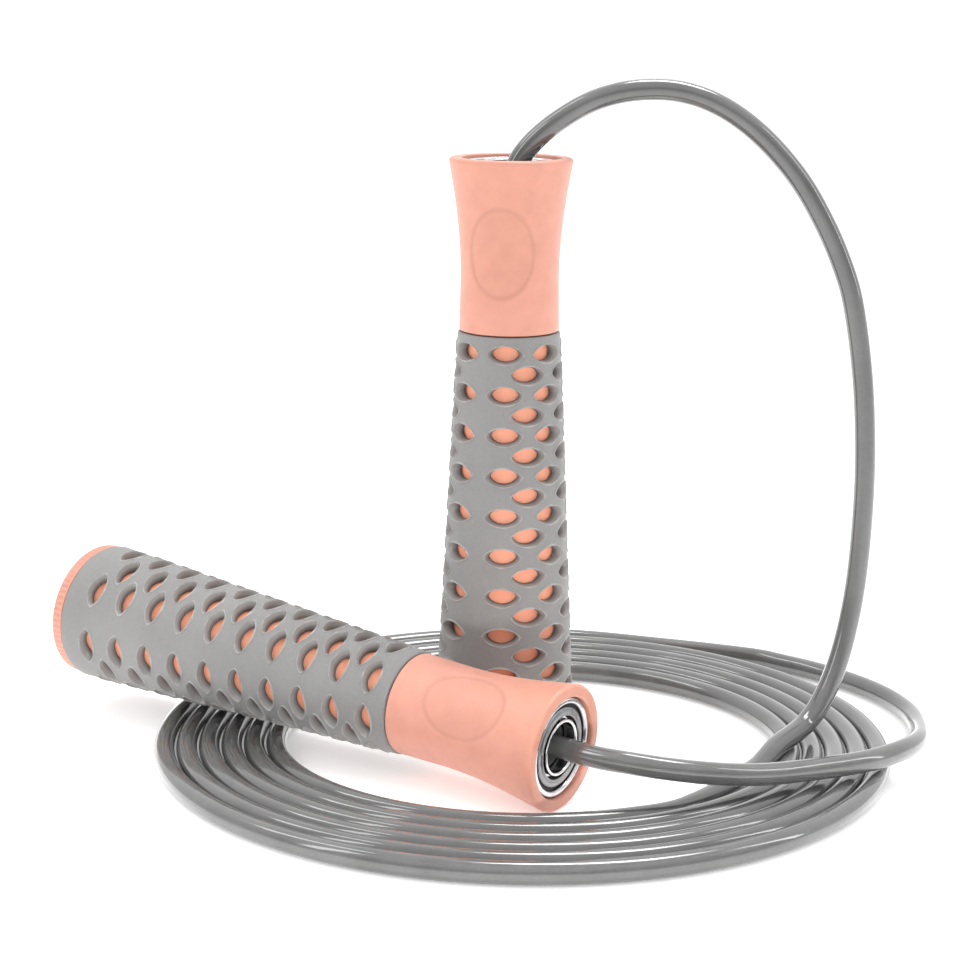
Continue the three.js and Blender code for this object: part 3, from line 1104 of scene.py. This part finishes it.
@dataclass
class MouthBearing:
    """What shows of the bearing: both rings, the dished shield, and the black bush in the bore."""

    placing: Placing
    facets: int = 128
    bore: float = 6 * MM
    chamfer: float = 0.45 * MM
    outer_land: float = 10.3 * MM
    land_rebate: Point2 = (0.4 * MM, 0.7 * MM)
    inner_land: float = 7.7 * MM
    inner_face: float = 6.8 * MM
    inner_step: float = 1.5 * MM
    raceway_half: float = 1.3 * MM
    raceway_depth: float = 0.45 * MM
    shield_inner: float = 7.5 * MM
    shield_sunk: float = 0.1 * MM
    shield_thickness: float = 0.3 * MM
    lip_drop: float = 0.4 * MM
    crown: Point2 = (0.25 * MM, 0.6 * MM)
    crown_drop: float = 0.02 * MM
    dish: Point2 = (0.9 * MM, 0.85 * MM)
    dish_drop: float = 0.3 * MM
    crimp: Point2 = (0.6 * MM, 0.05 * MM)
    crimp_drop: float = 0.75 * MM
    # Bands round the shield where the steel is painted dark as shade.
    outer_shade: Point2 = (0.68 * MM, 0.12 * MM)
    inner_shade: float = 0.05 * MM
    shade_drop: float = 0.2 * MM
    bush_flange_radius: float = 7.4 * MM
    bush_flange: float = 1.6 * MM
    bush_length: float = 4.6 * MM
    bush_mouth_wall: float = 0.8 * MM
    bush_bore: float = 2.95 * MM

    def __post_init__(self) -> None:
        """Read the bearing's place and size from the frame."""
        low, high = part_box("bearing_outer_a")
        self.back, self.front, self.radius = low.z, high.z, high.x
        self.middle = (self.back + self.front) / 2

    def groove(self, land: float, way: int) -> list[tuple[float, float, float]]:
        """Return the corners of a raceway, from back to front, cut away from the balls' side.

        Args:
            land: Radius of the ring's land.
            way: 1 to cut outwards and -1 to cut inwards.

        Returns:
            Radius, height and easing length of each corner.
        """
        bottom = land + way * self.raceway_depth
        half, floor = self.raceway_half, self.raceway_half / 2
        return [
            (land, self.middle - half, 0.2 * MM), (bottom, self.middle - floor, 0.5 * MM),
            (bottom, self.middle + floor, 0.5 * MM), (land, self.middle + half, 0.2 * MM),
        ]

    def outer_ring(self) -> list[Point2]:
        """Return the outer ring's outline, with a rebate for the shield's rim.

        Returns:
            The outline's points as radius and height.
        """
        wide, deep = self.land_rebate
        return eased([
            (self.radius, self.back, self.chamfer),
            (self.radius, self.front, self.chamfer),
            (self.outer_land + wide, self.front, 0.2 * MM),
            (self.outer_land, self.front - deep, 0.0),
            *reversed(self.groove(self.outer_land, 1)),
            (self.outer_land, self.back, 0.2 * MM),
        ])

    def inner_ring(self) -> list[Point2]:
        """Return the inner ring's outline, stepped at the front to clear the shield's lip.

        Returns:
            The outline's points as radius and height.
        """
        step = self.front - self.inner_step
        return eased([
            (self.bore, self.back, 0.3 * MM),
            (self.inner_land, self.back, 0.2 * MM),
            *self.groove(self.inner_land, -1),
            (self.inner_land, step, 0.1 * MM),
            (self.inner_face, step, 0.0),
            (self.inner_face, self.front, 0.3 * MM),
            (self.bore, self.front, 0.4 * MM),
        ])

    def shield(self) -> list[Point2]:
        """Return the front shield's outline: a crimped rim, a raised dish and a turned-in lip.

        Returns:
            The outline's points as radius and height.
        """
        top, lip, land = self.front - self.shield_sunk, self.shield_inner, self.outer_land
        crown, dish, crimp = top - self.crown_drop, top - self.dish_drop, top - self.crimp_drop
        face = [
            (lip, top - self.lip_drop, 0.0),
            (lip + self.crown[0], crown, 0.15 * MM),
            (lip + self.crown[1], crown, 0.15 * MM),
            (lip + self.dish[0], dish, 0.2 * MM),
            (land - self.dish[1], dish, 0.2 * MM),
            (land - self.crimp[0], crimp, 0.15 * MM),
            (land - self.crimp[1], crimp, 0.0),
        ]
        rear = [(radius, height - self.shield_thickness, ease) for radius, height, ease in reversed(face)]
        return eased([*face, *rear])

    def bush(self) -> list[Point2]:
        """Return the swivel bush's outline: rear flange, body in the bore and flared mouth.

        Returns:
            The outline's points as radius and height.
        """
        start = self.back - GAP - self.bush_flange
        flange_top = start + self.bush_flange
        mouth = start + self.bush_length
        body = self.bore - GAP
        return eased([
            (self.bush_bore, start, 0.3 * MM),
            (self.bush_flange_radius, start, 0.3 * MM),
            (self.bush_flange_radius, flange_top, 0.2 * MM),
            (body, flange_top, 0.0),
            (body, mouth, 0.25 * MM),
            (body - self.bush_mouth_wall, mouth, 0.25 * MM),
            (self.bush_bore, flange_top, 0.8 * MM),
        ])

    def ring_mark(self, radius: float, height: float, angle: float) -> float:
        """Return the radius, which the steel's circular grain follows."""
        return radius

    def groove_shade(self, radius: float, height: float, angle: float) -> float:
        """Return 1 in the grooves on both sides of the shield, which are painted dark as shade, and 0 on the open
        faces.

        Args:
            radius: The vertex's radius.
            height: The vertex's height.
            angle: The vertex's angle, not used.

        Returns:
            The mark.
        """
        inside, outside = self.outer_shade
        by_outer = self.outer_land - inside < radius < self.outer_land + outside
        by_inner = self.inner_face < radius - self.inner_shade < self.shield_inner
        return 1.0 if by_outer or by_inner and height < self.front - self.shade_drop else 0.0

    def build(self, paint: Paintbox) -> None:
        """Make the four pieces, each in place of its node.

        Args:
            paint: The finishes.
        """
        marks = {"ring": self.ring_mark, "groove_shade": self.groove_shade}
        handle, rope = self.placing.node("handle"), "rope"
        pieces = [
            ("outer_ring", self.outer_ring(), Slot.BEARING, "bearing_outer", handle),
            ("inner_ring", self.inner_ring(), Slot.BEARING, "bearing_inner", rope),
            ("dished_shield", self.shield(), Slot.SHIELD, "shield_front", handle),
            ("mouth_bush", self.bush(), Slot.BUSH, "swivel_bush", rope),
        ]
        for name, outline, slot, node, body in pieces:
            skin = turned(outline, self.facets, marks=marks)
            self.placing.stand_in(paint, name, skin, slot, node, body, 50)


@dataclass
class Handle:
    """One whole handle."""

    side: str
    seam_deg: float
    oval_deg: float
    first_hole: float
    last_hole: float

    def build(self, paint: Paintbox) -> None:
        """Build every visible piece of the handle in order.

        Args:
            paint: The finishes.
        """
        placing = Placing.at_joint(self.side)
        parts = [
            HandleShell(placing, self.oval_deg),
            PerforatedGrip(placing, self.seam_deg, self.first_hole, self.last_hole),
            ScrewCap(placing),
            MouthBearing(placing),
        ]
        for part in parts:
            part.build(paint)
            LOG.info("handle %s: %s built", self.side, type(part).__name__)


# ---- Rope ----------------------------------------------------------------------------------------

# Free rope from the standing handle's mouth, over the arch and down on to the coil
ARCH_ROUTE = [
    (0.0005, 0, 0.142), (0.0026, 0, 0.1464), (0.0064, 0, 0.1508), (0.012, -0.0002, 0.1553),
    (0.019, -0.0005, 0.1594), (0.026, -0.0008, 0.1617), (0.0334, -0.001, 0.1626),
    (0.0407, -0.0014, 0.1622), (0.048, -0.0018, 0.1601), (0.0553, -0.0023, 0.1561),
    (0.0628, -0.0028, 0.1499), (0.0704, -0.0034, 0.1412), (0.0762, -0.004, 0.1318),
    (0.0809, -0.0045, 0.122), (0.0842, -0.005, 0.1123), (0.0873, -0.0062, 0.094),
    (0.0886, -0.0074, 0.077), (0.0887, -0.0086, 0.062), (0.0876, -0.0104, 0.044),
    (0.0854, -0.0126, 0.0305), (0.0822, -0.0156, 0.02), (0.0782, -0.0192, 0.0126),
    (0.0748, -0.0226, 0.0094), (0.0721, -0.0258, 0.0082), (0.0662, -0.0335, 0.0069),
    (0.0595, -0.0432, 0.0042),
]

# Free rope from the lying handle's mouth, over the coil's front and round its outside to the back
LEAD_ROUTE = [
    (0.0204, -0.0652, 0.0149), (0.0276, -0.0686, 0.0148), (0.0356, -0.0698, 0.014),
    (0.0442, -0.0686, 0.0127), (0.0526, -0.0656, 0.0112), (0.061, -0.0614, 0.0099),
    (0.0696, -0.0566, 0.0091), (0.0786, -0.052, 0.0087), (0.0874, -0.0468, 0.0085),
    (0.095, -0.0394, 0.0081), (0.1006, -0.0302, 0.007), (0.104, -0.019, 0.0054),
    (0.1057, -0.007, 0.0039), (0.1056, 0.0055, 0.003), (0.102, 0.0186, 0.0028),
    (0.0956, 0.03, 0.00275), (0.087, 0.0402, 0.00275), (0.0784, 0.0476, 0.00275),
    (0.0726, 0.0522, 0.00275), (0.061, 0.0575, 0.00265),
]


@dataclass
class Rope:
    """The one length of rope: tail, arch, six flat turns, outer lead and tail."""

    diameter: float = 5.3 * MM
    length: float = 3.22
    tail_start: float = 118 * MM
    tail_straight: float = 10 * MM
    bearing_back: float = 139.2 * MM
    roundness: int = 6
    first_turn: float = -0.1
    last_turn: float = 5.57
    points_per_turn: int = 24
    inner_half: Point2 = (61 * MM, 56.6 * MM)
    turn_growth: Point2 = (5.55 * MM, 5.9 * MM)
    centre: Point2 = (5.5 * MM, -19.5 * MM)
    centre_drift: float = 0.3 * MM

    def coil_point(self, turns: float) -> Vector:
        """Return the rope's centre after a number of turns, wound outwards on the ground.

        Args:
            turns: Turns wound so far.

        Returns:
            The point on the rope's centreline.
        """
        angle = math.tau * turns
        half_x = self.inner_half[0] + self.turn_growth[0] * turns
        half_y = self.inner_half[1] + self.turn_growth[1] * turns
        x = self.centre[0] - half_x * math.sin(angle)
        y = self.centre[1] + self.centre_drift * turns - half_y * math.cos(angle)
        return Vector((x, y, self.diameter / 2))

    def centreline(self) -> list[Vector]:
        """Return the rope's points from the standing handle to the lying one.

        Returns:
            The points in order.
        """
        standing, lying = Placing.at_joint("a"), Placing.at_joint("b")
        steps = round((self.last_turn - self.first_turn) * self.points_per_turn)
        spread = (self.last_turn - self.first_turn) / steps
        coil = [self.coil_point(self.first_turn + spread * k) for k in range(steps + 1)]
        tail = [self.tail_start, self.bearing_back - self.tail_straight, self.bearing_back]
        return [
            *[standing.on_axis(height) for height in tail],
            *[Vector(point) for point in ARCH_ROUTE],
            *coil,
            *[Vector(point) for point in reversed(LEAD_ROUTE)],
            *[lying.on_axis(height) for height in reversed(tail)],
        ]

    def build(self, paint: Paintbox) -> None:
        """Args:
            paint: The finishes.
        """
        points = self.centreline()
        line = bpy.data.curves.new("vinyl_rope", "CURVE")
        line.dimensions = "3D"
        line.bevel_depth = self.diameter / 2
        line.bevel_resolution = line.resolution_u = self.roundness
        line.use_fill_caps = True
        spline = line.splines.new("BEZIER")
        spline.bezier_points.add(len(points) - 1)
        for i, knot in enumerate(spline.bezier_points):
            before, here, after = points[max(i - 1, 0)], points[i], points[min(i + 1, len(points) - 1)]
            way = (after - before).normalized()
            knot.handle_left_type = knot.handle_right_type = "FREE"
            knot.co = here
            knot.handle_left = here - way * (here - before).length / 3
            knot.handle_right = here + way * (after - here).length / 3
        piece = bpy.data.objects.new("vinyl_rope", line)
        bpy.context.scene.collection.objects.link(piece)
        paint.dress(piece, Slot.ROPE)
        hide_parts("rope_arch", "rope_coil", "rope_lead")
        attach(piece, "rope")
        LOG.info("rope built from %d points", len(points))


# ---- Studio --------------------------------------------------------------------------------------


@dataclass(frozen=True)
class SoftLight:
    """A rectangular soft box that faces a point; one that isn't mirrored leaves no highlight."""

    name: str
    place: tuple[float, float, float]
    aim: tuple[float, float, float]
    size: Point2
    watts: float
    mirrored: bool = True
    spread_deg: float = 180

    def build(self) -> None:
        """Hang the light."""
        lamp = bpy.data.lights.new(self.name, "AREA")
        lamp.shape = "RECTANGLE"
        lamp.size, lamp.size_y = self.size
        lamp.energy = self.watts
        lamp.spread = math.radians(self.spread_deg)
        light = bpy.data.objects.new(self.name, lamp)
        light.visible_glossy = self.mirrored
        light.location = self.place
        light.rotation_euler = (Vector(self.aim) - Vector(self.place)).to_track_quat("-Z", "Y").to_euler()
        bpy.context.scene.collection.objects.link(light)


@dataclass
class Studio:
    """The camera, the pale floor, the soft boxes and the even surround."""

    camera_place: tuple[float, float, float] = (-5.57 * MM, -545.2 * MM, 186.61 * MM)
    camera_pitch_deg: float = 12.7
    camera_roll_deg: float = 0.61
    lens_mm: float = 82.1
    view_range: Point2 = (0.01, 20.0)
    surround_front: float = 0.42
    surround_back: float = 1.06
    surround_top: float = 1.25
    front_to_back: Point2 = (-0.5, 0.45)
    above_horizon: Point2 = (0.08, 0.25)
    to_top: Point2 = (0.25, 0.8)
    floor_half: float = 4.0
    floor_tones: Point2 = (0.95, 0.97)
    floor_glow: float = 0.35
    lights: tuple[SoftLight, ...] = (
        SoftLight("overhead_box", (0.18, 0.25, 0.92), (0.03, -0.02, 0.0), (0.5, 0.26), 4.6),
        SoftLight("overhead_left", (-0.5, 0.1, 0.75), (0.0, -0.02, 0.05), (0.12, 0.4), 0.8),
        SoftLight("left_box", (-0.75, -0.4, 0.6), (0.0, 0.0, 0.07), (0.12, 0.6), 1.3),
        SoftLight("right_strip", (0.8, -0.1, 0.5), (0.02, 0.0, 0.07), (0.08, 0.6), 1.0),
        SoftLight("front_fill", (0.2, -1.1, 0.1), (0.03, -0.05, 0.03), (0.8, 0.2), 0.6, mirrored=False),
        SoftLight("low_fill", (0.05, -0.4, 0.012), (0.01, -0.07, 0.008), (0.3, 0.02), 0.05,
                  mirrored=False, spread_deg=36),
    )

    def set_camera(self) -> None:
        """Place the camera and make it the scene's."""
        lens = bpy.data.cameras.new("camera")
        lens.lens = self.lens_mm
        lens.clip_start, lens.clip_end = self.view_range
        camera = bpy.data.objects.new("camera", lens)
        pitch, roll = math.radians(self.camera_pitch_deg), math.radians(self.camera_roll_deg)
        turn = Matrix.Rotation(math.pi / 2 - pitch, 4, "X") @ Matrix.Rotation(roll, 4, "Z")
        camera.matrix_world = Matrix.Translation(self.camera_place) @ turn
        bpy.context.scene.collection.objects.link(camera)
        bpy.context.scene.camera = camera

    def lay_floor(self) -> None:
        """Lay the pale floor, a wide sheet that glows a little, with a faint tone drift."""
        half = self.floor_half
        mesh = bpy.data.meshes.new("pale_floor")
        corners = [(-half, -half, 0), (half, -half, 0), (half, half, 0), (-half, half, 0)]
        mesh.from_pydata(corners, [], [(0, 1, 2, 3)])
        floor = bpy.data.objects.new("pale_floor", mesh)
        bench = NodeBench("pale_floor_paper")
        drift = bench.spread(bench.noise(300 * MM, 2), 0.0, 1.0)
        tone = bench.blend(drift, *(WHITE.scaled(level) for level in self.floor_tones))
        bench.dress(tone, bench.spread(bench.noise(50 * MM, 2), 0.86, 0.94))
        bench.set(Emission_Color=WHITE.scaled(1.0), Emission_Strength=self.floor_glow)
        mesh.materials.append(bench.material)
        bpy.context.scene.collection.objects.link(floor)

    def set_surround(self) -> None:
        """Fill the surround with light: white at the horizon, dim in front of it, brightest overhead."""
        world = bpy.data.worlds.new("surround")
        world.use_nodes = True
        nodes = NodeTree(world.node_tree)
        way = nodes.node("TexCoord", {}).outputs["Generated"]
        parts = nodes.node("SeparateXYZ", {0: way}).outputs

        def ramp(value: bpy.types.NodeSocket, span: Point2, low: object,
                 high: object) -> bpy.types.NodeSocket:
            """Map a span of a value on to a range of brightness, smoothly.

            Args:
                value: The socket to map.
                span: The values that give low and high.
                low: Brightness at the span's start.
                high: Brightness at the span's end.

            Returns:
                The brightness.
            """
            start, stop = span
            wires = {"Value": value, "From Min": start, "From Max": stop, "To Min": low, "To Max": high}
            return nodes.node("MapRange", wires, interpolation_type="SMOOTHSTEP").outputs["Result"]

        level = ramp(parts["Y"], self.front_to_back, self.surround_front, self.surround_back)
        level = ramp(parts["Z"], self.above_horizon, self.surround_back, level)
        level = ramp(parts["Z"], self.to_top, level, self.surround_top)
        background = nodes.tree.nodes["Background"].inputs
        nodes.tree.links.new(level, background["Strength"])
        background["Color"].default_value = WHITE.scaled(1.0)
        bpy.context.scene.world = world

    def build(self) -> None:
        """Set the floor, the surround and the lights."""
        self.lay_floor()
        self.set_surround()
        for light in self.lights:
            light.build()
        bpy.context.scene.view_settings.view_transform = "Standard"


# ---- Making --------------------------------------------------------------------------------------


def kept_nodes() -> dict[str, str]:
    """Return the CAD nodes that stay visible, each with its material slot's name.

    Returns:
        Node names, each with its slot's name.
    """
    return {
        part["node"]: part["material_slot"]
        for part in frame["record"]["subparts"]
        if not frame["nodes"][part["node"]].hide_render
    }


def main() -> None:
    """Build the camera, the rope, the handles and the studio in order."""
    logging.basicConfig(level=logging.INFO, format="%(name)s: %(message)s")
    paint = Paintbox()
    studio = Studio()
    studio.set_camera()
    Rope().build(paint)
    for handle in (
        Handle("a", seam_deg=-120.2, oval_deg=-101.5, first_hole=8.2 * MM, last_hole=99 * MM),
        Handle("b", seam_deg=-137.4, oval_deg=-162.0, first_hole=12 * MM, last_hole=97.5 * MM),
    ):
        handle.build(paint)
    paint.dress_kept_nodes(kept_nodes())
    studio.build()


if __name__ == "__main__":
    main()
